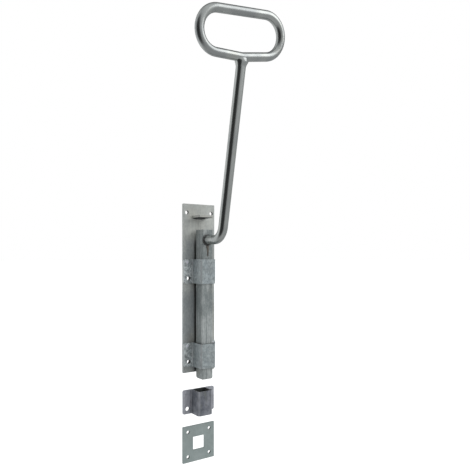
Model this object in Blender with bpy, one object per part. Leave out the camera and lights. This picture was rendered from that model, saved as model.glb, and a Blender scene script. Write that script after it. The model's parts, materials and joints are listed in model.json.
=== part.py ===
"""Cane bolt: a square bolt sliding in two straps on a back plate, lifted by a long
rod handle with a closed loop grip; a loose keep and a loose floor plate go with it.

Frame: +Z up, +X across the plate, the plate's back face lies in Y = 0 and the
bolt and handle stand out towards -Y. The origin is the middle of the plate's back.
Lengths are in metres (MM converts).
"""
import math

import bmesh
import bpy
from mathutils import Vector

MM = 0.001
GAP = 0.3 * MM                      # air left between two pieces that touch

# ---- driving dimensions --------------------------------------------------------
PLATE_W, PLATE_H, PLATE_T = 60 * MM, 280 * MM, 4 * MM
PLATE_HOLE_X, PLATE_HOLE_DOWN, PLATE_HOLE_R = 23.5 * MM, 14.5 * MM, 3.25 * MM

STRIP_T = 3 * MM                    # strip the straps and the keep are pressed from
STRIP_H = 40 * MM
STRAP_W = 60 * MM                   # over both flanges
STRAP_BOX_W = 28 * MM               # over the raised middle
STRAP_BOX_D = 30.5 * MM             # from the flange's back to the raised front face
STRAP_CORNER_R = 3.5 * MM           # outside radius of the two front bends
STRAP_CREASE_R = 2 * MM             # inside radius where flange turns into side
FLANGE_CORNER_R = 3 * MM
FLANGE_HOLE_X, FLANGE_HOLE_UP, FLANGE_HOLE_R = 21.5 * MM, 8.5 * MM, 3.5 * MM
DIMPLE_X, DIMPLE_DOWN, DIMPLE_R = 24.5 * MM, 4.9 * MM, 2.5 * MM
LOWER_STRAP_Z = -130 * MM           # bottom edges
UPPER_STRAP_Z = 8 * MM
KEEP_Z = -209 * MM
KEEP_BOX_D = 26.5 * MM              # the keep is shallower, and its box is closed at the back

BOLT_S = 20 * MM
BOLT_BACK_Y = -11 * MM
BOLT_Z0, BOLT_Z1 = -148.5 * MM, 96.5 * MM
SOCKET_DEPTH = 6 * MM               # blind socket the handle's leg is set into

TAB_W, TAB_OUT, TAB_T, TAB_Z = 27 * MM, 24 * MM, 4 * MM, 116.5 * MM

ROD_R = 7.5 * MM                    # leg and long rod
LOOP_ROD_R = 6.75 * MM              # the loop is bent from a thinner rod
LEG_Z = 79.5 * MM
LEG_CORNER_Y = -74.5 * MM           # where leg and rod axes would meet
BEND_R = 24.5 * MM                  # radius of the bend's axis
LEAN = math.radians(11.6)           # rod leans away from the door
ROD_LEN = 273 * MM                  # from that corner to the loop's lower bar
LOOP_ROLL = math.radians(7.6)       # loop sits turned in its own plane
LOOP_HALF = 42 * MM                 # half the straight top bar
LOOP_R = 29.45 * MM                 # radius of the end bends' axis
LOOP_VEE = math.radians(4.57)       # each half of the lower bar dips towards the rod

SPRING_W, SPRING_T, SPRING_L, SPRING_Z = 12 * MM, 1 * MM, 84 * MM, -41 * MM

FLOOR_S, FLOOR_T, FLOOR_Z = 60 * MM, 3 * MM, -290 * MM
FLOOR_HOLE, FLOOR_SCREW, FLOOR_SCREW_R = 22 * MM, 20.5 * MM, 2.75 * MM

# ---- clear the scene -----------------------------------------------------------
for old in list(bpy.data.objects):
    bpy.data.objects.remove(old, do_unlink=True)
SCENE = bpy.context.scene.collection


# ---- small tools ---------------------------------------------------------------
def finish(name, color, metallic, roughness):
    m = bpy.data.materials.new(name)
    m.use_nodes = True
    b = m.node_tree.nodes["Principled BSDF"]
    b.inputs["Base Color"].default_value = (*color, 1.0)
    b.inputs["Metallic"].default_value = metallic
    b.inputs["Roughness"].default_value = roughness
    m.diffuse_color = (*color, 1.0)
    return m


def put(name, bm, color=(0.46, 0.48, 0.48), metallic=1.0, roughness=0.5):
    """Turn a bmesh into a named object with a material of its own."""
    bmesh.ops.recalc_face_normals(bm, faces=bm.faces[:])
    mesh = bpy.data.meshes.new(name)
    bm.to_mesh(mesh)
    bm.free()
    ob = bpy.data.objects.new(name, mesh)
    ob.data.materials.append(finish(name, color, metallic, roughness))
    SCENE.objects.link(ob)
    return ob


def block(x0, x1, y0, y1, z0, z1):
    bm = bmesh.new()
    bmesh.ops.create_cube(bm, size=1.0)
    for v in bm.verts:
        v.co = Vector((x0 if v.co.x < 0 else x1, y0 if v.co.y < 0 else y1,
                       z0 if v.co.z < 0 else z1))
    return bm


def prism(outline, axis, lo, hi):
    """Extrude a closed 2D outline. axis 'Z' takes (x, y), 'Y' takes (x, z), 'X' takes (y, z)."""
    def place(a, b, c):
        return {"Z": (a, b, c), "Y": (a, c, b), "X": (c, a, b)}[axis]
    bm = bmesh.new()
    face = bm.faces.new([bm.verts.new(place(a, b, lo)) for a, b in outline])
    ext = bmesh.ops.extrude_face_region(bm, geom=[face])
    for g in ext["geom"]:
        if isinstance(g, bmesh.types.BMVert):
            g.co = Vector(place(*{"Z": (g.co.x, g.co.y), "Y": (g.co.x, g.co.z),
                                  "X": (g.co.y, g.co.z)}[axis], hi))
    return bm


def rounded(corners, steps=6):
    """Outline through corners (x, y, radius) with an arc at each corner of radius > 0."""
    out = []
    n = len(corners)
    for i, (x, y, r) in enumerate(corners):
        p = Vector((x, y))
        if r <= 0:
            out.append((x, y))
            continue
        a = (Vector(corners[i - 1][:2]) - p).normalized()
        b = (Vector(corners[(i + 1) % n][:2]) - p).normalized()
        half = a.angle(b) / 2
        centre = p + (a + b).normalized() * (r / math.sin(half))
        start = p + a * (r / math.tan(half)) - centre
        end = p + b * (r / math.tan(half)) - centre
        turn = start.angle_signed(end)
        for k in range(steps + 1):
            t = -turn * k / steps
            out.append((centre.x + start.x * math.cos(t) - start.y * math.sin(t),
                        centre.y + start.x * math.sin(t) + start.y * math.cos(t)))
    return out


def rod(points, radius, sides=24, cyclic=False):
    """Round rod swept along points, as a curve with bevel and filled caps."""
    cu = bpy.data.curves.new("rod", "CURVE")
    cu.dimensions = "3D"
    cu.bevel_depth = radius
    cu.bevel_resolution = (sides - 4) // 2
    cu.use_fill_caps = True
    sp = cu.splines.new("POLY")
    sp.points.add(len(points) - 1)
    for p, co in zip(sp.points, points):
        p.co = (*co, 1.0)
    sp.use_cyclic_u = cyclic
    tmp = bpy.data.objects.new("rod_tmp", cu)
    SCENE.objects.link(tmp)
    bpy.context.view_layer.update()
    mesh = bpy.data.meshes.new_from_object(tmp.evaluated_get(
        bpy.context.evaluated_depsgraph_get()))
    bm = bmesh.new()
    bm.from_mesh(mesh)
    bmesh.ops.remove_doubles(bm, verts=bm.verts[:], dist=1e-7)
    bpy.data.objects.remove(tmp, do_unlink=True)
    bpy.data.curves.remove(cu)
    bpy.data.meshes.remove(mesh)
    return bm


def turned(profile, base, axis, sides=32):
    """Turn a closed profile of (radius, height) points about axis through base."""
    axis = axis.normalized()
    u = axis.orthogonal().normalized()
    w = axis.cross(u)
    bm = bmesh.new()
    rings = []
    for k in range(sides):
        t = 2 * math.pi * (k + 0.37) / sides
        d = u * math.cos(t) + w * math.sin(t)
        rings.append([bm.verts.new(base + d * r + axis * h) if r > 0 else None
                      for r, h in profile])
    poles = {i: bm.verts.new(base + axis * h) for i, (r, h) in enumerate(profile) if r <= 0}
    n = len(profile)
    for k in range(sides):
        a, b = rings[k], rings[(k + 1) % sides]
        for i in range(n):
            j = (i + 1) % n
            quad = [a[i] or poles[i], a[j] or poles[j], b[j] or poles.get(j), b[i] or poles.get(i)]
            face = []
            for v in quad:
                if v is not None and v not in face:
                    face.append(v)
            if len(face) > 2:
                bm.faces.new(face)
    return bm


def cut(target, bm, op="DIFFERENCE"):
    """Boolean the bmesh into or out of target; the tool body stays as a hidden cutter."""
    tool = put("cutter", bm)
    tool.hide_render = True
    tool.display_type = "WIRE"
    mod = target.modifiers.new("cut", "BOOLEAN")
    mod.operation = op
    mod.solver = "EXACT"
    mod.object = tool
    return tool


def soften(target, width, segments=2, angle=35):
    mod = target.modifiers.new("soften", "BEVEL")
    mod.width = width
    mod.segments = segments
    mod.limit_method = "ANGLE"
    mod.angle_limit = math.radians(angle)
    mod.use_clamp_overlap = True
    weld = target.modifiers.new("weld", "WELD")
    weld.merge_threshold = 1e-6


def drill(target, x, z, radius, y0, y1, sides=28):
    """Round hole along Y between y0 and y1."""
    h = abs(y1 - y0)
    bm = turned([(radius, 0), (radius, h), (0, h), (0, 0)],
                Vector((x, min(y0, y1), z)), Vector((0, 1, 0)), sides)
    return cut(target, bm)


# ---- back plate ----------------------------------------------------------------
plate = put("back_plate", block(-PLATE_W / 2, PLATE_W / 2, -PLATE_T, 0,
                                -PLATE_H / 2, PLATE_H / 2), (0.50, 0.52, 0.51))
for side in (-1, 1):
    drill(plate, side * PLATE_HOLE_X, PLATE_H / 2 - PLATE_HOLE_DOWN, PLATE_HOLE_R,
          -PLATE_T - MM, MM)
    for z0 in (LOWER_STRAP_Z, UPPER_STRAP_Z):
        drill(plate, side * FLANGE_HOLE_X, z0 + FLANGE_HOLE_UP, FLANGE_HOLE_R,
              -PLATE_T - MM, MM)
soften(plate, 0.5 * MM, 1)

# ---- stop tab above the bolt, and the fillet that holds it ----------------------
front = -PLATE_T - GAP
tab = put("stop_tab", prism(rounded([
    (-TAB_W / 2, front, 0), (TAB_W / 2, front, 0),
    (TAB_W / 2, -PLATE_T - TAB_OUT, 2.5 * MM), (-TAB_W / 2, -PLATE_T - TAB_OUT, 2.5 * MM)]),
    "Z", TAB_Z, TAB_Z + TAB_T), (0.44, 0.46, 0.45))
soften(tab, 0.4 * MM)

leg = 2.2 * MM                      # leg length of the fillet weld
top = TAB_Z - GAP
fillet = [(front, top), (front - leg, top), (front - leg * 0.62, top - leg * 0.30),
          (front - leg * 0.30, top - leg * 0.62), (front, top - leg)]
bead = put("stop_tab_weld", prism(fillet, "X", -TAB_W * 0.42, TAB_W * 0.42),
           (0.36, 0.37, 0.37), roughness=0.6)
soften(bead, 0.3 * MM)


# ---- omega pressings: two straps on the plate, one loose keep -------------------
def pressing(name, back_y, z0, color, depth=STRAP_BOX_D):
    bo, bi = STRAP_BOX_W / 2, STRAP_BOX_W / 2 - STRIP_T
    hw = STRAP_W / 2
    f = back_y - STRIP_T            # flange's front
    nose = back_y - depth           # raised front face
    outline = rounded([
        (-hw, back_y, 0), (-hw, f, 0),
        (-bo, f, STRAP_CREASE_R), (-bo, nose, STRAP_CORNER_R),
        (bo, nose, STRAP_CORNER_R), (bo, f, STRAP_CREASE_R),
        (hw, f, 0), (hw, back_y, 0),
        (bi, back_y, STRAP_CREASE_R + STRIP_T), (bi, nose + STRIP_T, STRAP_CORNER_R - STRIP_T),
        (-bi, nose + STRIP_T, STRAP_CORNER_R - STRIP_T), (-bi, back_y, STRAP_CREASE_R + STRIP_T)])
    ob = put(name, prism(outline, "Z", z0, z0 + STRIP_H), color)
    r = FLANGE_CORNER_R
    cut(ob, prism(rounded([(-hw, z0, r), (hw, z0, r), (hw, z0 + STRIP_H, r),
                           (-hw, z0 + STRIP_H, r)]), "Y", nose - MM, back_y + MM), "INTERSECT")
    for side in (-1, 1):
        drill(ob, side * FLANGE_HOLE_X, z0 + FLANGE_HOLE_UP, FLANGE_HOLE_R,
              f - MM, back_y + MM)
    soften(ob, 0.3 * MM, 1)
    return ob


def dimple_spots(back_y, z0):
    for side, word in ((-1, "left"), (1, "right")):
        yield word, Vector((side * DIMPLE_X, back_y - STRIP_T, z0 + STRIP_H - DIMPLE_DOWN))


OUT = Vector((0, -1, 0))            # away from the door
strap_back = -PLATE_T - GAP
for name, z0 in (("upper_strap", UPPER_STRAP_Z), ("lower_strap", LOWER_STRAP_Z)):
    strap = pressing(name, strap_back, z0, (0.45, 0.47, 0.48))
    for word, p in dimple_spots(strap_back, z0):
        sink = 1.6 * MM
        cut(strap, turned([(0, -sink), (DIMPLE_R + GAP, -sink), (DIMPLE_R + GAP, MM), (0, MM)],
                          p, OUT, 24))
        r = DIMPLE_R                # weld plug: straight in its recess, domed on top
        put(name + "_weld_" + word, turned([
            (0, GAP - sink), (r, GAP - sink), (r, 0.05 * MM), (r * 0.85, 0.35 * MM),
            (r * 0.5, 0.55 * MM), (0, 0.62 * MM)], p, OUT, 24), (0.62, 0.63, 0.66),
            roughness=0.35)

keep = pressing("keep", 0.0, KEEP_Z, (0.36, 0.36, 0.40), KEEP_BOX_D)
for word, p in dimple_spots(0.0, KEEP_Z):
    r = DIMPLE_R
    cut(keep, turned([(0, -MM), (r, -MM), (r, 0.05 * MM), (r * 0.8, 0.4 * MM),
                      (r * 0.4, 0.6 * MM), (0, 0.65 * MM)], p, OUT, 24), "UNION")

# wall that closes the keep's box at the back; its sides follow the two creases
crease = STRAP_CREASE_R + STRIP_T
half_gap = STRAP_BOX_W / 2 - STRIP_T
side_line = []
for k in range(9):
    y = -STRIP_T * k / 8
    side_line.append((half_gap + crease - math.sqrt((crease + GAP) ** 2 - (y + crease) ** 2)
                      if abs(y + crease) < crease + GAP else half_gap + crease, y))
put("keep_back_wall", prism(
    [(-x, y) for x, y in side_line] + [(x, y) for x, y in reversed(side_line)], "Z",
    KEEP_Z + GAP, KEEP_Z + STRIP_H - GAP), (0.36, 0.36, 0.40))

# ---- square bolt ----------------------------------------------------------------
bolt_front = BOLT_BACK_Y - BOLT_S
bm = block(-BOLT_S / 2, BOLT_S / 2, bolt_front, BOLT_BACK_Y, BOLT_Z0, BOLT_Z1)
low = min(bm.faces, key=lambda f: f.calc_center_median().z)
centre = low.calc_center_median()
for v in low.verts:
    v.co.z += 2.2 * MM
nose = bmesh.ops.extrude_face_region(bm, geom=[low])
for g in nose["geom"]:
    if isinstance(g, bmesh.types.BMVert):
        g.co = Vector((g.co.x * 0.87, centre.y + (g.co.y - centre.y) * 0.87, BOLT_Z0))
bmesh.ops.delete(bm, geom=[f for f in bm.faces if abs(f.normal.z) > 0.99 and
                           abs(f.calc_center_median().z - BOLT_Z0 - 2.2 * MM) < 1e-6],
                 context="FACES_ONLY")
bolt = put("bolt_bar", bm, (0.52, 0.54, 0.54))
drill(bolt, 0, LEG_Z, ROD_R + GAP, bolt_front - 2 * MM, bolt_front + SOCKET_DEPTH)
drill(bolt, 0, SPRING_Z, 2.6 * MM, BOLT_BACK_Y - 9 * MM, BOLT_BACK_Y + 2 * MM, 24)
soften(bolt, 0.8 * MM, 2, 25)

# ---- bow spring behind the bolt and its rivet -----------------------------------
spring_y = BOLT_BACK_Y + GAP        # face against the bolt
rise = -PLATE_T - GAP - SPRING_T - spring_y
line = []
for k in range(25):
    s = -1 + 2 * k / 24
    line.append((spring_y + rise * (1 - math.cos(math.pi * s)) / 2, SPRING_Z + s * SPRING_L / 2))
strip = line + [(y + SPRING_T, z) for y, z in reversed(line)]
spring = put("friction_spring", prism(strip, "X", -SPRING_W / 2, SPRING_W / 2),
             (0.30, 0.31, 0.33), roughness=0.4)
drill(spring, 0, SPRING_Z, 2.6 * MM, BOLT_BACK_Y - 2 * MM, BOLT_BACK_Y + 4 * MM, 24)
head = SPRING_T + 2 * GAP
put("spring_rivet", turned([
    (0, -8.5 * MM), (2.3 * MM, -8.5 * MM), (2.3 * MM, head), (4 * MM, head),
    (4 * MM, head + 0.5 * MM), (3 * MM, head + 1.2 * MM), (0, head + 1.6 * MM)],
    Vector((0, BOLT_BACK_Y, SPRING_Z)), Vector((0, 1, 0)), 24), (0.40, 0.41, 0.42))

# ---- handle: leg, bend and rod --------------------------------------------------
rise_dir = Vector((0, -math.sin(LEAN), math.cos(LEAN)))
corner = Vector((0, LEG_CORNER_Y, LEG_Z))
turn = OUT.angle(rise_dir)
tangent = BEND_R * math.tan(turn / 2)
bend_in = corner - OUT * tangent
to_centre = (rise_dir - OUT * rise_dir.dot(OUT)).normalized()
bend_centre = bend_in + to_centre * BEND_R
joint = corner + rise_dir * ROD_LEN
path = [Vector((0, bolt_front + SOCKET_DEPTH - GAP, LEG_Z))]
for k in range(15):
    t = turn * k / 14
    path.append(bend_centre + OUT * BEND_R * math.sin(t) - to_centre * BEND_R * math.cos(t))
path.append(joint - rise_dir * 3.5 * MM)

# loop path in its own plane, from the rod's top up round and back
across = Vector((1, 0, 0)) * math.cos(LOOP_ROLL) + rise_dir * math.sin(LOOP_ROLL)
upward = rise_dir * math.cos(LOOP_ROLL) - Vector((1, 0, 0)) * math.sin(LOOP_ROLL)
arc_end_x = LOOP_HALF + LOOP_R * math.sin(LOOP_VEE)
arc_z = arc_end_x * math.tan(LOOP_VEE) + LOOP_R * math.cos(LOOP_VEE)
half = [(0.0, 0.0)]
for k in range(19):
    t = -math.pi / 2 + LOOP_VEE + (math.pi - LOOP_VEE) * k / 18
    half.append((LOOP_HALF + LOOP_R * math.cos(t), arc_z + LOOP_R * math.sin(t)))
ring = half + [(-x, z) for x, z in reversed(half[1:])]
loop_path = [joint + across * x + upward * z for x, z in ring]

ZINC = (0.66, 0.67, 0.68)
shank = put("handle_shank", rod(path, ROD_R), ZINC, roughness=0.22)
bar = [loop_path[-1], loop_path[0], loop_path[1]]
cut(shank, rod(bar, LOOP_ROD_R + GAP, 32))
loop = put("grip_loop", rod(loop_path, LOOP_ROD_R, cyclic=True), ZINC, roughness=0.22)

# ---- welds of the handle --------------------------------------------------------
r = ROD_R + GAP
put("shank_weld", turned([
    (r, GAP), (r + 1.7 * MM, GAP), (r + 1.5 * MM, 1.1 * MM), (r + 0.9 * MM, 2.0 * MM),
    (r + 0.35 * MM, 3.2 * MM), (r, 3.4 * MM)],
    Vector((0, bolt_front, LEG_Z)), OUT), (0.34, 0.35, 0.36), roughness=0.55)
collar = put("loop_weld", turned([
    (r, -15 * MM), (r + 0.3 * MM, -14.6 * MM), (r + 0.8 * MM, -11.5 * MM),
    (r + 1.8 * MM, -9 * MM), (r + 3.0 * MM, -7 * MM), (r + 2.6 * MM, -4.6 * MM),
    (r, -4.6 * MM)], joint, rise_dir), (0.60, 0.61, 0.62), roughness=0.3)
cut(collar, rod(bar, LOOP_ROD_R + GAP, 32))

# ---- floor plate ----------------------------------------------------------------
h = FLOOR_S / 2
zc = FLOOR_Z + h
bm = block(-h, h, -FLOOR_T, 0, FLOOR_Z, FLOOR_Z + FLOOR_S)
bmesh.ops.bevel(bm, geom=bm.edges[:], offset=0.4 * MM, segments=1, affect="EDGES")
floor = put("floor_plate", bm, (0.47, 0.50, 0.47))
q = FLOOR_HOLE / 2
cut(floor, block(-q, q, -FLOOR_T - MM, MM, zc - q, zc + q))
for sx in (-1, 1):
    for sz in (-1, 1):
        drill(floor, sx * FLOOR_SCREW, zc + sz * FLOOR_SCREW, FLOOR_SCREW_R,
              -FLOOR_T - MM, MM, 24)
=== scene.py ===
# %% [markdown]
# # A galvanised cane bolt
# A cane bolt locks a gate or a barn door to the ground. A square bar slides in two
# pressed straps on a back plate, and a long rod with a loop on top lifts it without
# stooping. Two loose pieces come with it: a keep, pressed like the straps, and a
# square plate that is let into the floor. The machined solids are there already. This
# lesson gives them their finished surfaces, piece by piece, and then lights them.

# %% Load the solid model
import json
import math

import bmesh
import bpy
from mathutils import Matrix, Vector, noise


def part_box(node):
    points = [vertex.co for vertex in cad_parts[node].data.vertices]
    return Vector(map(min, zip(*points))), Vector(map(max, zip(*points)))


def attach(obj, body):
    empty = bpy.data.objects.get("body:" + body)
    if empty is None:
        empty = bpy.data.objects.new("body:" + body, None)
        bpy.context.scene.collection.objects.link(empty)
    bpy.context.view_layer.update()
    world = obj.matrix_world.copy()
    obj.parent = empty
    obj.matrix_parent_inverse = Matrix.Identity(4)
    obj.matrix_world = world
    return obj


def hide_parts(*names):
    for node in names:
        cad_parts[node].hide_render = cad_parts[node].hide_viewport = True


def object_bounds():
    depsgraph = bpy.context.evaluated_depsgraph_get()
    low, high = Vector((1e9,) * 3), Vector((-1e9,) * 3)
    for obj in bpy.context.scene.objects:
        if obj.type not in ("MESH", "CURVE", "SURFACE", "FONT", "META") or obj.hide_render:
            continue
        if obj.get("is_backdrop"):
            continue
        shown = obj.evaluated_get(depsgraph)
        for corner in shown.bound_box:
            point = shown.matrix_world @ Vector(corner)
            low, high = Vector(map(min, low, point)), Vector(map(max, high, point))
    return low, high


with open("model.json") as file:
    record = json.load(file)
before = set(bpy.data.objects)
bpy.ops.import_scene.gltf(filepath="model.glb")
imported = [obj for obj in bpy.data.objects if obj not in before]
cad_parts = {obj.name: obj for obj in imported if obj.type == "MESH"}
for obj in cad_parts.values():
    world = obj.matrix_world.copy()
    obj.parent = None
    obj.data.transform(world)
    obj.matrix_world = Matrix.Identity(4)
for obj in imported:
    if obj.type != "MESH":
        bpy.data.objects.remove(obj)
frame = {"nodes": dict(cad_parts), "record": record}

cad_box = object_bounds()
print("solid model spans", [round(1000 * (b - a)) for a, b in zip(*cad_box)], "mm")

# %% [markdown]
# ## Where the measurements come from
# A finished piece has to land exactly where its machined solid is, or it will scrape
# when the bolt moves. So every place is read from the solids' boxes, and only what a
# box can't tell, such as a bend's radius, is written down as a number. Millimetres
# are easier to read than metres, so MM converts them.

# %% Read the main places
MM = 0.001
plate_lo, plate_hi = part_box("back_plate")
bar_lo, bar_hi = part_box("bolt_bar")
tab_lo, tab_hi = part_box("stop_tab")
ring_lo, ring_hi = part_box("shank_weld")
leg_z = (ring_lo.z + ring_hi.z) / 2
bar_front, bar_back = bar_lo.y, bar_hi.y
BODY_OF = {solid: body for body, solids in frame["record"]["behaviour"]["bodies"].items()
           for solid in solids}
print("the leg leaves the bar at z =", round(leg_z / MM, 1), "mm")

# %% [markdown]
# ## From points to a piece
# A bmesh is a loose bag of points and faces, handy while a shape is being made. It
# becomes an object once, and after that modifiers cut its holes and round its edges.
# Each modifier is settled into the mesh straight away, so the next one starts clean.

# %% Make, settle and fit an object
def as_object(name, bm):
    bmesh.ops.recalc_face_normals(bm, faces=bm.faces[:])
    mesh = bpy.data.meshes.new(name)
    bm.to_mesh(mesh)
    bm.free()
    ob = bpy.data.objects.new(name, mesh)
    bpy.context.scene.collection.objects.link(ob)
    return ob


def take_result(ob):
    """Make what the modifiers show the object's own mesh, and drop the modifiers."""
    graph = bpy.context.evaluated_depsgraph_get()
    mesh = bpy.data.meshes.new_from_object(ob.evaluated_get(graph))
    ob.modifiers.clear()
    old, ob.data = ob.data, mesh
    bpy.data.meshes.remove(old)
    mesh.name = ob.name
    return mesh


def settle(ob, crease=38):
    """Turn modifiers into plain mesh, and shade smooth except across sharp creases."""
    mesh = take_result(ob)
    mesh.polygons.foreach_set("use_smooth", [True] * len(mesh.polygons))
    mesh.set_sharp_from_angle(angle=math.radians(crease))
    return ob


def even_shading(ob):
    """Let big flat faces set the shading, so a soft edge doesn't darken the whole flat."""
    ob.modifiers.new("even", "WEIGHTED_NORMAL").keep_sharp = True
    take_result(ob)
    return ob


def fit(ob, finish, *solids, slot=None, body=None):
    """Give a piece its finishes, let it stand for its solids, and let it move with them."""
    if not ob.data.materials:
        ob.data.materials.append(finish)
    if solids:
        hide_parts(*solids)
    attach(ob, body or BODY_OF[solids[0]])
    print(f"{ob.name}: {len(ob.data.polygons)} faces")


# %% [markdown]
# ## Outlines, cuts and soft edges
# Nearly all of this hardware is flat stock: an outline pulled straight out. Rolled and
# dipped steel has no knife edges, and a rounded edge is what catches the light, so
# every cut piece is bevelled by a fraction of a millimetre at the end.

# %% Outline tools
def rounded(corners, steps=8):
    """An outline through (x, y, radius) corners, with an arc wherever radius is set."""
    out = []
    for i, (x, y, radius) in enumerate(corners):
        p = Vector((x, y))
        if radius <= 0:
            out.append((x, y))
            continue
        a = (Vector(corners[i - 1][:2]) - p).normalized()
        b = (Vector(corners[(i + 1) % len(corners)][:2]) - p).normalized()
        half = a.angle(b) / 2
        middle = p + (a + b).normalized() * (radius / math.sin(half))
        start = p + a * (radius / math.tan(half)) - middle
        end = p + b * (radius / math.tan(half)) - middle
        turn = -start.angle_signed(end)
        for k in range(steps + 1):
            c, s = math.cos(turn * k / steps), math.sin(turn * k / steps)
            out.append((middle.x + start.x * c - start.y * s,
                        middle.y + start.x * s + start.y * c))
    return out


def pulled(outline, axis, lo, hi):
    """Pull an outline along Z, where it holds (x, y), or along Y, where it holds (x, z)."""
    def at(p, level):
        return (p[0], p[1], level) if axis == "Z" else (p[0], level, p[1])
    bm = bmesh.new()
    near = [bm.verts.new(at(p, lo)) for p in outline]
    far = [bm.verts.new(at(p, hi)) for p in outline]
    bm.faces.new(near)
    bm.faces.new(far[::-1])
    for i in range(len(outline)):
        j = (i + 1) % len(outline)
        bm.faces.new((near[i], far[i], far[j], near[j]))
    return bm


# %% [markdown]
# Holes are cut with a boolean, which works on any shape and leaves a clean wall. A
# drill is just a round outline pulled through the plate. The bevel that follows marks
# its new faces, so that edges and hole walls can be given finishes of their own.

# %% Cutting and rounding tools
def cut(ob, tool_shape, how="DIFFERENCE"):
    tool = as_object("tool", tool_shape)
    mod = ob.modifiers.new("cut", "BOOLEAN")
    mod.operation, mod.solver, mod.object = how, "EXACT", tool
    settle(ob)
    bpy.data.objects.remove(tool, do_unlink=True)


def drill(ob, x, z, radius, y0=-0.06, y1=0.01, sides=40):
    ring = []
    for k in range(sides):
        t = 2 * math.pi * (k + 0.37) / sides
        ring.append((x + radius * math.cos(t), z + radius * math.sin(t)))
    cut(ob, pulled(ring, "Y", y0, y1))


ON_FLATS, ON_EDGES, ON_WALLS, ON_FLANGES = range(4)     # places in a piece's finish list


def coat(ob, finish, edge_finish, shade_finish, holes):
    """Finish the flats, the rounded edges and the walls of the (x, z, radius) holes, which take
    painted shade.
    """
    for coating in (finish, edge_finish, shade_finish):
        ob.data.materials.append(coating)
    for face in ob.data.polygons:
        c = face.center
        if any(math.hypot(c.x - x, c.z - z) < r * 1.01 for x, z, r in holes):
            face.material_index = ON_WALLS


def round_edges(ob, radius, segments=3, angle=30):
    """Bevel every sharp edge. The new faces take the second finish, which on most pieces is a
    painted highlight.
    """
    mod = ob.modifiers.new("round", "BEVEL")
    mod.width, mod.segments, mod.material = radius, segments, ON_EDGES
    mod.limit_method, mod.angle_limit = "ANGLE", math.radians(angle)
    ob.modifiers.new("join", "WELD").merge_threshold = 2e-6
    return even_shading(settle(ob, 50))


# %% [markdown]
# ## Sweeping
# Rods, weld beads and runs of zinc are all the same idea: a ring of points carried
# along a path. The paths here are all flat, so the direction square to that plane
# gives each ring its heading, and the tube never twists. The ring's two half widths
# may change along the way, which is what makes a bead look poured.

# %% Sweep a ring along a path
def swept(name, path, square, size, sides=48, closed=False, crease=38):
    """size is a radius, or a function of (place along 0..1, turn 0..1) giving two."""
    bm, rings, n = bmesh.new(), [], len(path)
    for i, p in enumerate(path):
        before = path[i - 1] if closed or i else p
        after = path[(i + 1) % n] if closed or i < n - 1 else p
        out = (after - before).cross(square).normalized()
        ring = []
        for k in range(sides):
            t = k / sides
            a, b = size(i / (n - 1), t) if callable(size) else (size, size)
            ring.append(bm.verts.new(p + square * a * math.cos(2 * math.pi * t)
                                     + out * b * math.sin(2 * math.pi * t)))
        rings.append(ring)
    for i in range(n if closed else n - 1):
        a, b = rings[i], rings[(i + 1) % n]
        for k in range(sides):
            bm.faces.new((a[k], a[(k + 1) % sides], b[(k + 1) % sides], b[k]))
    if not closed:
        bm.faces.new(rings[0])
        bm.faces.new(rings[-1][::-1])
    return settle(as_object(name, bm), crease)


def lumpy(ob, amount, size):
    """Push a dense mesh in and out by slow noise, as molten metal sets."""
    normals = [v.normal.copy() for v in ob.data.vertices]
    for v, n in zip(ob.data.vertices, normals):
        v.co += n * amount * noise.noise(v.co / size)
    ob.data.update()
    return ob


# %% [markdown]
# ## How zinc looks
# Hot-dipped zinc is dull: small crystals, cloudy patches, streaks where it drained and
# a slightly lumpy skin. It could be painted with a picture, but noise that fills space
# never shows a seam and never runs out of detail, so that is what is used: Voronoi
# cells for the crystals, slow noise for the clouds, and noise squeezed along the
# height for the streaks. A few small helpers keep the node trees readable.

# %% Node helpers
def node(tree, kind, **settings):
    made = tree.nodes.new(kind)
    for key, value in settings.items():
        setattr(made, key, value)
    return made


def plug(tree, socket, value):
    """Link a socket, or set it when the value is a plain number or colour."""
    if isinstance(value, bpy.types.NodeSocket):
        tree.links.new(value, socket)
    else:
        socket.default_value = (*value, 1) if isinstance(value, tuple) else value


def grain(tree, space, scale, stretch=(1, 1, 1), detail=4.0, shift=0.0):
    """Noise that fills the metal's own space, squeezed along each axis by stretch."""
    place = node(tree, "ShaderNodeMapping")
    place.inputs["Scale"].default_value = stretch
    place.inputs["Location"].default_value = (shift, shift * 0.7, shift * 1.3)
    tree.links.new(space, place.inputs["Vector"])
    noise_node = node(tree, "ShaderNodeTexNoise")
    noise_node.inputs["Scale"].default_value = scale
    noise_node.inputs["Detail"].default_value = detail
    tree.links.new(place.outputs[0], noise_node.inputs["Vector"])
    return noise_node.outputs["Fac"]


def spread(tree, value, lo, hi, to_lo=0.0, to_hi=1.0):
    """Stretch the part of value between lo and hi over to_lo … to_hi, softly."""
    r = node(tree, "ShaderNodeMapRange", interpolation_type="SMOOTHSTEP")
    for key, v in (("From Min", lo), ("From Max", hi), ("To Min", to_lo), ("To Max", to_hi)):
        r.inputs[key].default_value = v
    tree.links.new(value, r.inputs["Value"])
    return r.outputs["Result"]


def tint(tree, base, over, amount, how="MIX"):
    mix = node(tree, "ShaderNodeMix", data_type="RGBA", blend_type=how)
    for socket, value in ((mix.inputs[6], base), (mix.inputs[7], over), (mix.inputs[0], amount)):
        plug(tree, socket, value)
    return mix.outputs[2]


def sum_of(tree, a, b, share=1.0):
    """b * share + a, in one Math node."""
    m = node(tree, "ShaderNodeMath", operation="MULTIPLY_ADD")
    for i, v in enumerate((b, share, a)):
        plug(tree, m.inputs[i], v)
    return m.outputs[0]


def both(tree, a, b):
    """Where two masks overlap: one times the other."""
    return sum_of(tree, 0.0, a, b)


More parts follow.
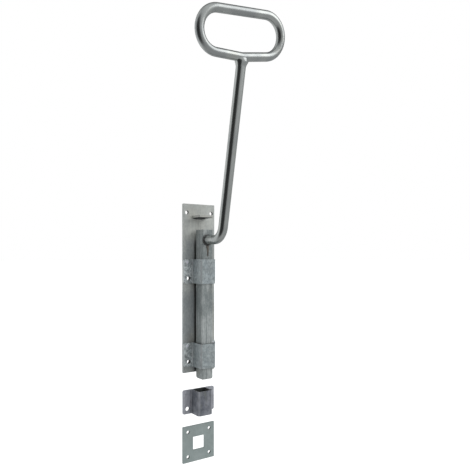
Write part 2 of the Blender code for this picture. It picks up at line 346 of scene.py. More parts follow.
def new_finish(name, metallic, colour):
    finish = bpy.data.materials.new(name)
    finish.use_nodes = True
    tree = finish.node_tree
    shader = tree.nodes["Principled BSDF"]
    shader.inputs["Metallic"].default_value = metallic
    finish.diffuse_color = (*colour, 1)
    return finish, tree, shader, node(tree, "ShaderNodeTexCoord").outputs["Object"]


# %% [markdown]
# ## Dipped zinc
# One recipe makes every dipped piece. Two greys are clouded into each other, drainage streaks
# darken them, a warm storage stain lies over some of it, and the crystals lift or lower the result
# a little. The clouds also steer the roughness, because a duller patch of zinc is both greyer and
# less shiny. Two pieces also get painted shade: the plate behind the bar and the wall inside the
# keep, where the bar and the box shade them. A mask built from the metal's own X, Y and Z paints
# them dark. The plate is also painted paler higher up, as painted light above the shadow that the
# bar and its leg cast on it.

# %% Where the bar covers the plate
def covered(tree, space, colour, clouds, grit, reach):
    """Painted light: paler higher up the plate. Painted shade: near black in front, within reach
    of the middle and below the bar's top.
    """
    sides = node(tree, "ShaderNodeSeparateXYZ")
    tree.links.new(space, sides.inputs[0])
    level = sum_of(tree, sides.outputs["Z"], clouds, 8 * MM)
    # painted light: paler above a wandering line about 80 mm up
    colour = tint(tree, colour, (0.70, 0.70, 0.64),
                  spread(tree, level, 80 * MM, 88 * MM, 0, 0.30))
    off_centre = node(tree, "ShaderNodeMath", operation="ABSOLUTE")
    tree.links.new(sides.outputs["X"], off_centre.inputs[0])
    wander = sum_of(tree, off_centre.outputs[0], grit, 2 * MM)
    behind = spread(tree, wander, reach + 2 * MM, reach - 1.5 * MM, 0, 0.88)
    below = spread(tree, sides.outputs["Z"], bar_hi.z - 6 * MM, bar_hi.z - 26 * MM)
    front = spread(tree, sides.outputs["Y"], -1.5 * MM, -2.5 * MM)
    # painted shade: a near-black tint where the three masks meet
    return tint(tree, colour, (0.05, 0.055, 0.05), both(tree, both(tree, behind, below), front))


# %% [markdown]
# The recipe itself takes two greys and a handful of strengths. Only the colours and
# the roughness are built from noise. What is the same all over, such as how metallic
# the zinc is, is set straight on the shader.

# %% Dipped zinc finish
def dipped(name, pale, dark, shift, stain=(0.33, 0.30, 0.24), stained=0.3, cloud=16,
           streaks=0.4, crystals=0.07, rough=(0.42, 0.62), metallic=0.4, speckle=0.25,
           painted_shade_reach=0.0):
    finish, tree, shader, space = new_finish(name, metallic, pale)
    clouds = spread(tree, grain(tree, space, cloud, (1.3, 1.3, 1), 5, shift), 0.36, 0.64)
    runs = spread(tree, grain(tree, space, 270, (1, 1, 0.03), 4, shift + 3), 0.40, 0.64,
                  0, streaks)
    colour = tint(tree, pale, dark, clouds)
    colour = tint(tree, colour, dark, runs)
    colour = tint(tree, colour, stain, spread(
        tree, grain(tree, space, cloud * 1.7, (1, 1, 0.6), 4, shift + 9), 0.50, 0.72, 0, stained))
    grit = grain(tree, space, 420, (1, 1, 0.7), 3, shift + 11)
    colour = tint(tree, colour, dark, spread(tree, grit, 0.44, 0.66, 0, speckle))
    colour = tint(tree, colour, pale, spread(tree, grit, 0.56, 0.34, 0, speckle))
    # Painted shade behind the bar and inside the keep, and painted light higher up the plate.
    if painted_shade_reach:
        colour = covered(tree, space, colour, clouds, grit, painted_shade_reach)
    cells = node(tree, "ShaderNodeTexVoronoi")
    cells.inputs["Scale"].default_value = 240
    tree.links.new(space, cells.inputs["Vector"])
    crystal = node(tree, "ShaderNodeSeparateColor")
    tree.links.new(cells.outputs["Color"], crystal.inputs[0])
    facet = node(tree, "ShaderNodeCombineColor")
    shade = spread(tree, crystal.outputs[0], 0, 1, 1 - crystals, 1)
    for socket in facet.inputs[:3]:
        tree.links.new(shade, socket)
    plug(tree, shader.inputs["Base Color"], tint(tree, colour, facet.outputs[0], 1.0, "MULTIPLY"))
    worn = sum_of(tree, crystal.outputs[1], clouds, 1.5)
    plug(tree, shader.inputs["Roughness"], spread(tree, worn, 0, 2.5, *rough))
    lumps = grain(tree, space, 140, (1, 1, 0.6), 3, shift + 5)
    skin = sum_of(tree, lumps, grain(tree, space, 900, (1, 1, 1), 4, shift), 0.22)
    bump = node(tree, "ShaderNodeBump")
    bump.inputs["Strength"].default_value = 0.5
    bump.inputs["Distance"].default_value = 0.45 * MM
    tree.links.new(skin, bump.inputs["Height"])
    tree.links.new(bump.outputs[0], shader.inputs["Normal"])
    return finish


# %% [markdown]
# Each piece was dipped or stored a little differently, so each gets its own greys. Some finishes
# are painted light: a paler one paints highlights on edges, lit copies paint light on the flanges,
# and dark ones paint shade in holes and hollows. shift moves the noise, so that no two pieces
# share the same clouds.

# %% The dipped pieces' finishes
PLATE_FINISH = dipped("dipped_plate", (0.71, 0.73, 0.69), (0.37, 0.40, 0.41), 0.0,
                      stained=0.45, cloud=14, streaks=0.35, rough=(0.44, 0.60),
                      speckle=0.2, painted_shade_reach=10.5 * MM)
BAR_FINISH = dipped("dipped_bar", (0.62, 0.65, 0.64), (0.26, 0.29, 0.29), 2.6,
                    stained=0.25, cloud=22, streaks=0.85, crystals=0.05, rough=(0.38, 0.52))
STRAP_FINISH = dipped("dipped_strap", (0.53, 0.58, 0.58), (0.36, 0.41, 0.43), 4.1,
                      (0.36, 0.35, 0.37), 0.35, 38, 0.60, 0.26, (0.34, 0.50), speckle=0.75)
# Painted light on the flanges: a paler copy of the strap's zinc, over its real frosty crystals.
FLANGE_FROST_AND_LIGHT_FINISH = dipped("frosted_flange_painted_light", (0.80, 0.85, 0.85), (0.40, 0.44, 0.45), 4.6,
                       (0.36, 0.35, 0.37), 0.25, 38, 0.10, 0.35, (0.34, 0.50), speckle=1.0)
# Painted highlight: a paler, shinier zinc for rounded edges and bends.
EDGE_HIGHLIGHT_FINISH = dipped("painted_highlight_edge", (0.74, 0.77, 0.78), (0.58, 0.62, 0.63), 5.9,
                     stained=0.15, cloud=60, streaks=0.2, rough=(0.28, 0.40), metallic=0.5)
KEEP_FINISH = dipped("dipped_keep", (0.34, 0.35, 0.39), (0.16, 0.17, 0.20), 6.3,
                     (0.25, 0.26, 0.23), 0.5, 70, 0.35, 0.16, (0.40, 0.58))
# The keep's painted light: a paler copy of its zinc. It is a painted highlight on edges and bends,
# and painted light on flanges and spot welds.
KEEP_PAINTED_LIGHT_FINISH = dipped("keep_painted_light", (0.56, 0.57, 0.62), (0.36, 0.37, 0.41), 6.9,
                          stained=0.2, cloud=60, rough=(0.34, 0.48))
# Painted shade on the keep's back wall: dark on its face inside the box.
WALL_FINISH = dipped("keep_wall", (0.34, 0.35, 0.39), (0.16, 0.17, 0.20), 6.3,
                     (0.25, 0.26, 0.23), 0.5, 70, 0.35, 0.16, (0.40, 0.58), painted_shade_reach=30 * MM)
FLOOR_FINISH = dipped("dipped_floor_plate", (0.43, 0.49, 0.48), (0.37, 0.43, 0.42), 8.9,
                      stained=0.15, cloud=30, streaks=0.15, crystals=0.05, rough=(0.46, 0.6))
# A weld's own dark colour, made darker still as painted shade under the stop tab and along its
# edges.
WELD_AND_SHADE_FINISH = dipped("dark_weld_and_painted_shade", (0.15, 0.15, 0.15), (0.05, 0.05, 0.05), 2.2,
                     (0.16, 0.13, 0.10), 0.5, 90, 0.2, 0.05, (0.32, 0.55))
PLUG_FINISH = dipped("bright_weld", (0.90, 0.90, 0.96), (0.66, 0.67, 0.73), 3.3,
                     (0.60, 0.59, 0.58), 0.3, 120, 0.1, 0.05, (0.30, 0.45), 0.3)
RUN_FINISH = dipped("zinc_run", (0.27, 0.24, 0.20), (0.09, 0.08, 0.07), 0.6,
                    (0.12, 0.09, 0.06), 0.6, 90, 0.2, 0.05, (0.35, 0.55))
# Painted shade, dark and dull, for hole walls, box insides and the tab's underside.
PAINTED_SHADE_FINISH = dipped("painted_shade_dull", (0.13, 0.14, 0.14), (0.06, 0.06, 0.06), 7.7,
                     (0.10, 0.08, 0.06), 0.5, 120, 0.2, 0.05, (0.6, 0.8), 0.6)
SPRING_FINISH = dipped("spring_steel", (0.20, 0.21, 0.22), (0.10, 0.10, 0.11), 5.2,
                       (0.15, 0.12, 0.10), 0.3, 50, 0.3, 0.03, (0.3, 0.5))
print("finishes:", ", ".join(sorted(m.name for m in bpy.data.materials if m.use_nodes)))

# %% [markdown]
# ## Plated zinc
# The handle is plated, not dipped, so it is smooth and mirrors the room as a soft
# streak along each rod. The haze is what keeps it from looking like chrome: patches
# where the shine breaks up, and a faint waviness left by drawing the bar.

# %% Plated zinc finish
def plated(name, pale, dark, rough):
    finish, tree, shader, space = new_finish(name, 1.0, pale)
    haze = spread(tree, grain(tree, space, 34, (1, 1, 0.5), 5, 2.0), 0.36, 0.68)
    warm = spread(tree, grain(tree, space, 60, (1, 1, 0.5), 4, 7.0), 0.5, 0.8, 0, 0.35)
    colour = tint(tree, tint(tree, pale, dark, haze), (0.46, 0.45, 0.38), warm)
    plug(tree, shader.inputs["Base Color"], colour)
    drawn = grain(tree, space, 500, (1, 1, 0.06), 3)
    plug(tree, shader.inputs["Roughness"],
         spread(tree, sum_of(tree, haze, drawn, 0.6), 0.1, 1.4, *rough))
    bump = node(tree, "ShaderNodeBump")
    bump.inputs["Strength"].default_value = 0.3
    bump.inputs["Distance"].default_value = 0.5 * MM
    skin = sum_of(tree, grain(tree, space, 80, (1, 1, 0.7), 2, 4.0), drawn, 0.08)
    tree.links.new(skin, bump.inputs["Height"])
    tree.links.new(bump.outputs[0], shader.inputs["Normal"])
    return finish


ROD_FINISH = plated("plated_rod", (0.60, 0.62, 0.60), (0.46, 0.48, 0.48), (0.18, 0.30))

# %% [markdown]
# ## The back plate
# A length of flat strip, sheared to size and drilled. It could start as a cube, but
# an outline with slightly rounded corners gives the same slab with corners that look
# dipped. The screw holes run on through the straps, so both are drilled from the
# same few numbers.

# %% Back plate
TOP_HOLE_X, TOP_HOLE_DOWN, TOP_HOLE_R = 23.5 * MM, 14.5 * MM, 3.25 * MM
FLANGE_HOLE_X, FLANGE_HOLE_UP, FLANGE_HOLE_R = 21.5 * MM, 8.5 * MM, 3.5 * MM


def slab(name, lo, hi, corner):
    return as_object(name, pulled(rounded([
        (lo.x, lo.z, corner), (hi.x, lo.z, corner), (hi.x, hi.z, corner),
        (lo.x, hi.z, corner)], 4), "Y", lo.y, hi.y))


plate = slab("plate_strip", plate_lo, plate_hi, 0.8 * MM)
plate_holes = []
for side in (-1, 1):
    plate_holes.append((side * TOP_HOLE_X, plate_hi.z - TOP_HOLE_DOWN, TOP_HOLE_R))
    for strap in ("upper_strap", "lower_strap"):
        plate_holes.append((side * FLANGE_HOLE_X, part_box(strap)[0].z + FLANGE_HOLE_UP,
                            FLANGE_HOLE_R))
for hole in plate_holes:
    drill(plate, *hole)
round_edges(plate, 0.5 * MM)
coat(plate, PLATE_FINISH, EDGE_HIGHLIGHT_FINISH, PAINTED_SHADE_FINISH, plate_holes)
fit(plate, PLATE_FINISH, "back_plate")

# %% [markdown]
# ## The stop tab
# A stub of flat bar welded square to the plate, which the raised bolt butts against.
# Its weld is a row of small overlapping pools, so the bead's width is a row of half waves, and
# slow noise keeps the pools from being all alike. Its dark finish is a weld's own colour, made
# darker as painted shade under the tab, and it also lines the tab's edges as painted shade. The
# tab's underside, above the weld, is painted dark as shade.

# %% Stop tab and its bead
tab = as_object("tab_bar", pulled(rounded([
    (tab_lo.x, plate_lo.y, 0), (tab_hi.x, plate_lo.y, 0),
    (tab_hi.x, tab_lo.y, 2.5 * MM), (tab_lo.x, tab_lo.y, 2.5 * MM)]), "Z", tab_lo.z, tab_hi.z))
round_edges(tab, 0.6 * MM)
# Painted shade along and under the tab. The edges take the dark weld finish and the underside the
# dark finish.
coat(tab, PLATE_FINISH, WELD_AND_SHADE_FINISH, PAINTED_SHADE_FINISH, [])
for face in tab.data.polygons:
    if face.normal.z < -0.7:
        face.material_index = ON_WALLS
print("the stop tab is", round((tab_hi.y - tab_lo.y) / MM, 1), "mm deep")
fit(tab, PLATE_FINISH, "stop_tab")

POOLS = 9
weld_lo, weld_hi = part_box("stop_tab_weld")


def pool_row(along, turn):
    swell = math.sin(math.pi * min(max(along, 0.02), 0.98)) ** 0.3
    wide = (1.5 + 0.45 * abs(math.sin(math.pi * POOLS * along))) * MM * swell
    return wide, wide


across_tab = [Vector((weld_lo.x + (weld_hi.x - weld_lo.x) * k / 60, plate_lo.y, tab_lo.z))
              for k in range(61)]
tab_bead = swept("tab_bead", across_tab, Vector((0, 0, 1)), pool_row, 16)
lumpy(tab_bead, 0.35 * MM, 3 * MM)
fit(tab_bead, WELD_AND_SHADE_FINISH, "stop_tab_weld")

# %% [markdown]
# ## Straps and keep
# All three are the same pressing: a strip bent into a raised box between two flanges,
# with a screw hole and a spot weld in each flange. The outline is drawn as seen from
# above, the inside and the outside of every bend, and pulled up to the strip's
# height. A second outline, seen from the front, then trims the four corners round.
# Bends and sheared edges take a painted highlight, paler than the flats. The flanges keep their
# frosty crystals and are painted paler as painted light, and the inside of the box is painted dark
# as shade. Each face is told which of these it is from its place and the way it faces. The keep's
# outer bends are rounder.

# %% One pressing
STRIP, BOX_HALF = 3 * MM, 14 * MM
OUTER_BEND, CREASE, FLANGE_CORNER = 3.5 * MM, 2 * MM, 3 * MM
KEEP_BEND = 5.5 * MM
NEAR = 0.2 * MM                 # close enough to a surface to be part of it
SPOT_X, SPOT_DOWN, SPOT_R = 24.5 * MM, 4.9 * MM, 2.5 * MM


def pressing(name, solid, finish, edge_finish, flange_finish, bend=OUTER_BEND):
    lo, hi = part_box(solid)
    back, front, nose = hi.y, hi.y - STRIP, lo.y
    inner = BOX_HALF - STRIP
    ob = as_object(name, pulled(rounded([
        (lo.x, back, 0), (lo.x, front, 0),
        (-BOX_HALF, front, CREASE), (-BOX_HALF, nose, bend),
        (BOX_HALF, nose, bend), (BOX_HALF, front, CREASE),
        (hi.x, front, 0), (hi.x, back, 0),
        (inner, back, CREASE + STRIP), (inner, nose + STRIP, OUTER_BEND - STRIP),
        (-inner, nose + STRIP, OUTER_BEND - STRIP), (-inner, back, CREASE + STRIP)]),
        "Z", lo.z, hi.z))
    r = FLANGE_CORNER
    cut(ob, pulled(rounded([(lo.x, lo.z, r), (hi.x, lo.z, r), (hi.x, hi.z, r), (lo.x, hi.z, r)]),
                   "Y", nose - MM, back + MM), "INTERSECT")
    holes = [(side * FLANGE_HOLE_X, lo.z + FLANGE_HOLE_UP, FLANGE_HOLE_R) for side in (-1, 1)]
    for hole in holes:
        drill(ob, *hole)
    round_edges(ob, 0.55 * MM)
    coat(ob, finish, edge_finish, PAINTED_SHADE_FINISH, holes)
    ob.data.materials.append(flange_finish)
    for face in ob.data.polygons:
        c, n = face.center, face.normal
        inside = abs(c.x) < inner + NEAR and c.y > nose + STRIP - NEAR
        bent = min(abs(n.x), abs(n.y)) > 0.35
        sheared = abs(n.z) > 0.9 or abs(n.x) > 0.9 and c.x < lo.x + MM
        # Painted shade inside the box, a painted highlight on bends and sheared edges, and painted
        # light on the flanges.
        if inside:
            face.material_index = ON_WALLS
        elif bent or sheared:
            face.material_index = ON_EDGES
        elif face.material_index == ON_FLATS and abs(c.x) > BOX_HALF + CREASE:
            face.material_index = ON_FLANGES
    fit(ob, finish, solid)


pressing("strap_upper", "upper_strap", STRAP_FINISH, EDGE_HIGHLIGHT_FINISH, FLANGE_FROST_AND_LIGHT_FINISH)
pressing("strap_lower", "lower_strap", STRAP_FINISH, EDGE_HIGHLIGHT_FINISH, FLANGE_FROST_AND_LIGHT_FINISH)
pressing("keep_pressing", "keep", KEEP_FINISH, KEEP_PAINTED_LIGHT_FINISH, KEEP_PAINTED_LIGHT_FINISH, KEEP_BEND)

# %% [markdown]
# The keep's box is closed at the back by a small wall between the flanges. Its solid has the right
# shape already, so it stays. It only gets the finish, which paints its face inside the box dark as
# shade, and a bevel modifier, which rounds it without touching its mesh.

# %% Keep's back wall
keep_wall = frame["nodes"]["keep_back_wall"]
keep_wall.data.materials.clear()
keep_wall.data.materials.append(WALL_FINISH)
soft = keep_wall.modifiers.new("soft", "BEVEL")
soft.width, soft.segments = 0.35 * MM, 2
soft.limit_method, soft.angle_limit = "ANGLE", math.radians(40)
print("the keep's back wall is softened by", round(soft.width / MM, 2), "mm")

# %% [markdown]
# ## Spot welds
# Each flange is fixed by one small pool of weld metal, set a little proud. A pool is a
# turned dome. Its rim is pulled in and out by noise so that no two are alike.

# %% Spot welds
def pool(name, middle, radius, height, seed):
    bm, rings = bmesh.new(), []
    for k in range(7):
        reach = math.sin(math.pi / 2 * k / 6)
        rise = height * math.cos(math.pi / 2 * k / 6)
        ring = []
        for j in range(28):
            t = 2 * math.pi * j / 28
            edge = radius * (1 + 0.10 * noise.noise((math.cos(t) * 1.3, math.sin(t) * 1.3, seed)))
            ring.append(bm.verts.new(middle + Vector((
                edge * (reach + 0.02) * math.cos(t), -rise, edge * (reach + 0.02) * math.sin(t)))))
        rings.append(ring)
    rings.append([bm.verts.new(v.co + Vector((0, 0.4 * MM, 0))) for v in rings[-1]])
    for a, b in zip(rings, rings[1:]):
        for j in range(28):
            bm.faces.new((a[j], a[(j + 1) % 28], b[(j + 1) % 28], b[j]))
    bm.faces.new(rings[0])
    bm.faces.new(rings[-1][::-1])
    return settle(as_object(name, bm), 70)


# The keep's spot welds take the keep's painted-light finish, like its flanges.
for solid, finish in (("upper_strap", PLUG_FINISH), ("lower_strap", PLUG_FINISH),
                      ("keep", KEEP_PAINTED_LIGHT_FINISH)):
    lo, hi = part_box(solid)
    for side, word in ((-1, "left"), (1, "right")):
        spot = pool(f"spot_{solid}_{word}",
                    Vector((side * SPOT_X, hi.y - STRIP, hi.z - SPOT_DOWN)),
                    SPOT_R, 0.7 * MM, side + 7 * hi.z)
        if solid == "keep":
            fit(spot, finish, slot="keep", body="mounting")
        else:
            fit(spot, finish, f"{solid}_weld_{word}")

# %% [markdown]
# ## The square bolt
# Square bar, cut off and chamfered at the tip so that it finds its hole. Stacking the
# same rounded square at several heights, a little smaller near the ends, gives the
# long soft edges and the chamfer in one go.

# %% Square bar
half = (bar_hi.x - bar_lo.x) / 2
mid_y = (bar_front + bar_back) / 2
MILL_EDGE = 0.7 * MM
square = rounded([(-half, bar_front, MILL_EDGE), (half, bar_front, MILL_EDGE),
                  (half, bar_back, MILL_EDGE), (-half, bar_back, MILL_EDGE)], 5)
LEVELS = [(bar_lo.z, 0.86), (bar_lo.z + 0.25 * MM, 0.885), (bar_lo.z + 2.0 * MM, 0.99),
          (bar_lo.z + 2.5 * MM, 1.0), (bar_hi.z - 0.7 * MM, 1.0),
          (bar_hi.z - 0.2 * MM, 0.98), (bar_hi.z, 0.94)]
bm = bmesh.new()
rings = [[bm.verts.new((x * s, mid_y + (y - mid_y) * s, z)) for x, y in square]
         for z, s in LEVELS]
for a, b in zip(rings, rings[1:]):
    for i in range(len(square)):
        j = (i + 1) % len(square)
        bm.faces.new((a[i], a[j], b[j], b[i]))
bm.faces.new(rings[0])
bm.faces.new(rings[-1][::-1])
bar = even_shading(settle(as_object("square_bar", bm), 32))
fit(bar, BAR_FINISH, "bolt_bar")

# %% [markdown]
# ## The handle's shank
# One rod makes the leg, the bend and the long shank. It leaves the bar square, turns
# up in one bend, and leans away from the door so that knuckles clear it. The path is
# the rod's centre line: a straight, an arc and a straight.

# %% Shank
ROD_R, BEND_R, ROD_LEN = 7.5 * MM, 24.5 * MM, 273 * MM
CORNER_Y, LEAN = -74.5 * MM, math.radians(11.6)
OUT, RIGHT = Vector((0, -1, 0)), Vector((1, 0, 0))
climb = Vector((0, -math.sin(LEAN), math.cos(LEAN)))
corner = Vector((0, CORNER_Y, leg_z))
turn = OUT.angle(climb)
bend_start = corner - OUT * BEND_R * math.tan(turn / 2)
inward = (climb - OUT * climb.dot(OUT)).normalized()
hub = bend_start + inward * BEND_R
joint = corner + climb * ROD_LEN
leg_root = Vector((0, bar_front + 4 * MM, leg_z))
path = [leg_root, leg_root.lerp(bend_start, 0.5)]
for k in range(33):
    t = turn * k / 32
    path.append(hub + OUT * BEND_R * math.sin(t) - inward * BEND_R * math.cos(t))
bend_end = path[-1]
path += [bend_end.lerp(joint, k / 8) for k in range(1, 9)]
shank = swept("handle_rod", path, RIGHT, ROD_R)
fit(shank, ROD_FINISH, "handle_shank")
print("loop starts", round(joint.z / MM), "mm up")

# %% [markdown]
# ## The loop
# A thinner rod is bent round two ends and closed where it is welded to the shank. Its
# lower bar dips towards the weld, and the whole loop sits turned a few degrees, as
# hand-made ones do. The path is drawn for one half, in the loop's own plane, and
# mirrored.

# %% Loop
ROLL, DIP = math.radians(7.6), math.radians(4.57)
LOOP_ROD_R, LOOP_HALF, LOOP_R = 6.75 * MM, 42 * MM, 29.45 * MM
across = RIGHT * math.cos(ROLL) + climb * math.sin(ROLL)
upward = climb * math.cos(ROLL) - RIGHT * math.sin(ROLL)
end_up = (LOOP_HALF + LOOP_R * math.sin(DIP)) * math.tan(DIP) + LOOP_R * math.cos(DIP)
bend = []
for k in range(37):
    t = -math.pi / 2 + DIP + (math.pi - DIP) * k / 36
    bend.append((LOOP_HALF + LOOP_R * math.cos(t), end_up + LOOP_R * math.sin(t)))
rise = bend[0][1]
right_half = [(bend[0][0] * s, rise * s) for s in (0.06, 0.14, 0.4, 0.7)] + bend
right_half += [(LOOP_HALF * s, bend[-1][1]) for s in (0.66, 0.33)]
outline = [(0, rise * 0.025)] + right_half + [(0, bend[-1][1])]
outline += [(-x, z) for x, z in reversed(right_half)]
loop = swept("hand_loop", [joint + across * x + upward * z for x, z in outline],
             across.cross(upward).normalized(), LOOP_ROD_R, closed=True)
fit(loop, ROD_FINISH, "grip_loop")
print("loop is", round(2 * (LOOP_HALF + LOOP_R + LOOP_ROD_R) / MM), "mm wide")

# %% [markdown]
# ## The handle's welds
# The leg is ringed by a dark, lumpy bead. At the top the weld has been dressed, and
# it flows from the shank into the loop, wider along the loop's bar than across it.
# Both are rings swept along the rod's own direction, with a width that changes.

# %% Bead round the leg
ring_path = []
RING_R = ROD_R + 0.55 * MM
for k in range(72):
    t = 2 * math.pi * k / 72
    ring_path.append(Vector((RING_R * math.cos(t), bar_front - 0.5 * MM,
                             leg_z + RING_R * math.sin(t))))


def leg_pools(along, turn):
    beat = abs(math.sin(math.pi * 11 * along))
    return (2.1 + 0.5 * beat) * MM, (1.15 + 0.25 * beat) * MM


leg_bead = swept("leg_bead", ring_path, OUT, leg_pools, 18, closed=True)
lumpy(leg_bead, 0.35 * MM, 3.5 * MM)
fit(leg_bead, WELD_AND_SHADE_FINISH, "shank_weld")

# %% [markdown]
# The fillet is wide just under the loop's bar and dies away down the shank. A short
# table of heights and widths draws that curve better than a formula would.

# %% Fillet under the loop
FLARE = [(-17, 0.02), (-15, 0.15), (-13, 0.45), (-11, 1.0), (-9, 1.9), (-7.5, 2.8),
         (-6, 3.3), (-4.5, 3.2), (-3, 2.4), (-1.5, 1.2)]
flare_path = [joint + climb * h * MM for h, wide in FLARE]


def flare(along, turn):
    wide = FLARE[round(along * (len(FLARE) - 1))][1] * MM
    return ROD_R + wide, ROD_R + wide * 0.45


loop_fillet = swept("loop_fillet", flare_path, RIGHT, flare, 48)
lumpy(loop_fillet, 0.5 * MM, 5 * MM)
fit(loop_fillet, ROD_FINISH, "loop_weld")

# %% [markdown]
# ## A run of zinc
# When the bar came out of the bath, zinc and flux drained from under the leg and froze
# in a long drop down the bar's front. It is a flat swept ridge, half sunk in the bar,
# and thin enough to slide behind the upper strap.

# %% Zinc run
RUN_TOP, RUN_LEN = leg_z - ROD_R - 1.2 * MM, 19 * MM
run_path = [Vector((0.8 * MM * math.sin(2.5 * k / 24), bar_front, RUN_TOP - RUN_LEN * k / 24))
            for k in range(25)]


def run_size(along, turn):
    taper = 2.9 - 2.4 * along + 0.7 * math.exp(-((along - 0.86) / 0.09) ** 2)
    close = min(1, (1 - along) * 12 + 0.05)
    return taper * close * MM, 0.38 * close * MM


zinc_run = swept("zinc_run", run_path, RIGHT, run_size, 16, crease=60)
fit(zinc_run, RUN_FINISH, slot="shank_weld", body="bolt")

# %% [markdown]
# ## Spring and rivet
# A bowed strip behind the bar drags on the plate and holds the bolt wherever it is
# left. It hardly shows, so its solid stays, with its edges softened by a modifier.

# %% Spring and rivet
for name in ("friction_spring", "spring_rivet"):
    solid = frame["nodes"][name]
    solid.data.materials.clear()
    solid.data.materials.append(SPRING_FINISH)
    soft = solid.modifiers.new("soft", "BEVEL")
    soft.width, soft.segments = 0.2 * MM, 2
    soft.limit_method, soft.angle_limit = "ANGLE", math.radians(40)
    print(name, "keeps its solid,", len(solid.data.polygons), "faces")

# %% [markdown]
# ## The floor plate
# A square of flat strip with a square hole punched for the bolt and four screw holes.

# %% Floor plate
floor_lo, floor_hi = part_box("floor_plate")
floor_mid = (floor_lo.z + floor_hi.z) / 2
PUNCH, SCREW, SCREW_R = 11 * MM, 20.5 * MM, 2.75 * MM
floor_square = slab("floor_square", floor_lo, floor_hi, 0.7 * MM)
cut(floor_square, pulled(rounded([
    (-PUNCH, floor_mid - PUNCH, 0.4 * MM), (PUNCH, floor_mid - PUNCH, 0.4 * MM),
    (PUNCH, floor_mid + PUNCH, 0.4 * MM), (-PUNCH, floor_mid + PUNCH, 0.4 * MM)], 3),
    "Y", -0.01, 0.01))
screw_holes = [(side * SCREW, floor_mid + up * SCREW, SCREW_R)
               for side in (-1, 1) for up in (-1, 1)]
for hole in screw_holes:
    drill(floor_square, *hole)
round_edges(floor_square, 0.35 * MM)
coat(floor_square, FLOOR_FINISH, FLOOR_FINISH, PAINTED_SHADE_FINISH, screw_holes)
fit(floor_square, FLOOR_FINISH, "floor_plate")

# %% [markdown]
# ## The eye
# The eye is level with the upper part of the plate and well round to its left, so the
# left sides of everything show. It stays level, which keeps upright edges upright,
# and the lens is shifted a little to bring the tall handle into the frame.

# %% Camera
EYE_TURN = math.radians(34.25)
EYE_AWAY, EYE_ASIDE, EYE_UP = 0.8555, 0.0626, 0.0533
ahead = Vector((math.sin(EYE_TURN), math.cos(EYE_TURN), 0))
aside = Vector((math.cos(EYE_TURN), -math.sin(EYE_TURN), 0))
lens = bpy.data.cameras.new("eye")
lens.sensor_width, lens.lens, lens.shift_y = 36, 38.83, 0.0447
lens.clip_start, lens.clip_end = 0.01, 100
eye = bpy.data.objects.new("eye", lens)
eye.location = aside * EYE_ASIDE - ahead * EYE_AWAY + Vector((0, 0, EYE_UP))
eye.rotation_euler = (math.radians(90), 0, -EYE_TURN)
bpy.context.scene.collection.objects.link(eye)
bpy.context.scene.camera = eye
print("eye at", [round(c, 3) for c in eye.location])

# %% [markdown]
# ## A light tent with a dark corner
# Bare metal shows the room more than itself, so the room is what gets designed. The
# tent is brighter overhead and behind, and has one dark patch to the left of the eye,
# which draws the dark core down each rod and darkens every left-hand side. A weaker
# one, up and behind, gives the tops of the rods an outline. A softbox high on the
# right throws the bolt's soft shadow on the plate.

# %% Light tent
world = bpy.data.worlds.new("tent")
bpy.context.scene.world = world
world.use_nodes = True
tree = world.node_tree
tree.nodes.clear()
sight = node(tree, "ShaderNodeTexCoord").outputs["Generated"]


def toward(direction, lo, hi, to_lo=0.0, to_hi=1.0):
    """How far a line of sight points in a direction, spread between two cosines."""
    facing = node(tree, "ShaderNodeVectorMath", operation="DOT_PRODUCT")
    facing.inputs[1].default_value = Vector(direction).normalized()
    tree.links.new(sight, facing.inputs[0])
    return spread(tree, facing.outputs["Value"], lo, hi, to_lo, to_hi)


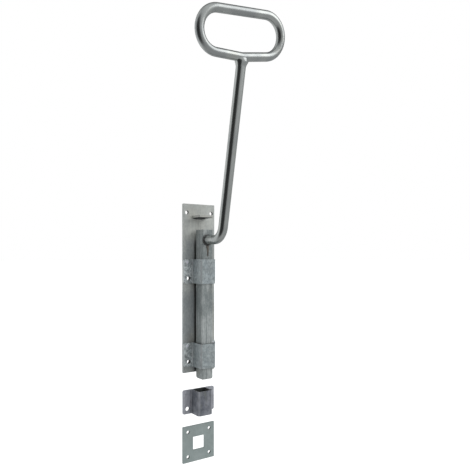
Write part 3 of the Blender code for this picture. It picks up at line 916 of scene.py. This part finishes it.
glow = sum_of(tree, 0.42, toward((0.25, -0.60, 0.75), 0.35, 0.92), 0.20)
glow = sum_of(tree, glow, toward((-0.5, 0.85, 0.15), 0.30, 0.90), 0.30)
dim = toward((-0.90, -0.40, -0.20), 0.50, 0.88, 1.0, 0.09)
dim = both(tree, dim, toward((0.40, 0.60, 0.69), 0.50, 0.90, 1.0, 0.45))
light_path = node(tree, "ShaderNodeLightPath").outputs
tent = node(tree, "ShaderNodeMath", operation="MULTIPLY")
plug(tree, tent.inputs[0], glow)
plug(tree, tent.inputs[1], sum_of(tree, dim, light_path["Is Diffuse Ray"], 0.72))
seen = tint(tree, tint(tree, (0, 0, 0), (0.98, 1.0, 1.01), tent.outputs[0]), (1, 1, 1),
            light_path["Is Camera Ray"])
air = node(tree, "ShaderNodeBackground")
plug(tree, air.inputs["Color"], seen)
tree.links.new(air.outputs[0], node(tree, "ShaderNodeOutputWorld").inputs["Surface"])
print("the tent is made of", len(tree.nodes), "nodes")

# %% [markdown]
# The softbox is a wide disk, because a wide lamp gives soft shadows and a broad, weak
# shine. A small one would leave a hard white line down each rod.

# %% Softbox
key_data = bpy.data.lights.new("softbox", "AREA")
key_data.shape, key_data.size, key_data.energy = "DISK", 1.3, 4.5
key = bpy.data.objects.new("softbox", key_data)
key.location = (0.85, -0.95, 1.0)
key.rotation_euler = (Vector((0, 0, 0.05)) - key.location).to_track_quat("-Z", "Y").to_euler()
bpy.context.scene.collection.objects.link(key)
print("the softbox stands", round(key.location.length, 2), "m away")

# %% [markdown]
# ## The floor
# A pale floor that runs to the horizon. It glows to the eye, so that it and the tent
# behind it read as one sweep, but throws only a little light back on the metal.

# %% Floor
FLOOR_DROP = 90 * MM
bm = bmesh.new()
bmesh.ops.create_grid(bm, x_segments=8, y_segments=8, size=40)
floor = as_object("floor", bm)
floor.location.z = cad_box[0].z - FLOOR_DROP
paint = bpy.data.materials.new("pale_floor")
paint.use_nodes = True
tree = paint.node_tree
shader = tree.nodes["Principled BSDF"]
shader.inputs["Base Color"].default_value = (0.6, 0.6, 0.6, 1)
shader.inputs["Roughness"].default_value = 0.9
shader.inputs["Emission Color"].default_value = (1, 1, 1, 1)
shader.inputs["Emission Strength"].default_value = 0.75
floor.data.materials.append(paint)
floor.visible_glossy = floor.visible_diffuse = False
floor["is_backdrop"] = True
print("the floor lies", round(FLOOR_DROP / MM), "mm under the lowest piece")

# %% [markdown]
# ## Compare the boxes
# The finished pieces must not outgrow the solids. Both boxes are measured, and how far they differ
# is printed.

# %% Finish
new_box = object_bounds()
grown = max(max(abs(a - b) for a, b in zip(u, v)) for u, v in zip(cad_box, new_box))
print("furthest the boxes differ:", round(grown / MM, 2), "mm")
view = bpy.context.scene.view_settings
view.view_transform = "Standard"
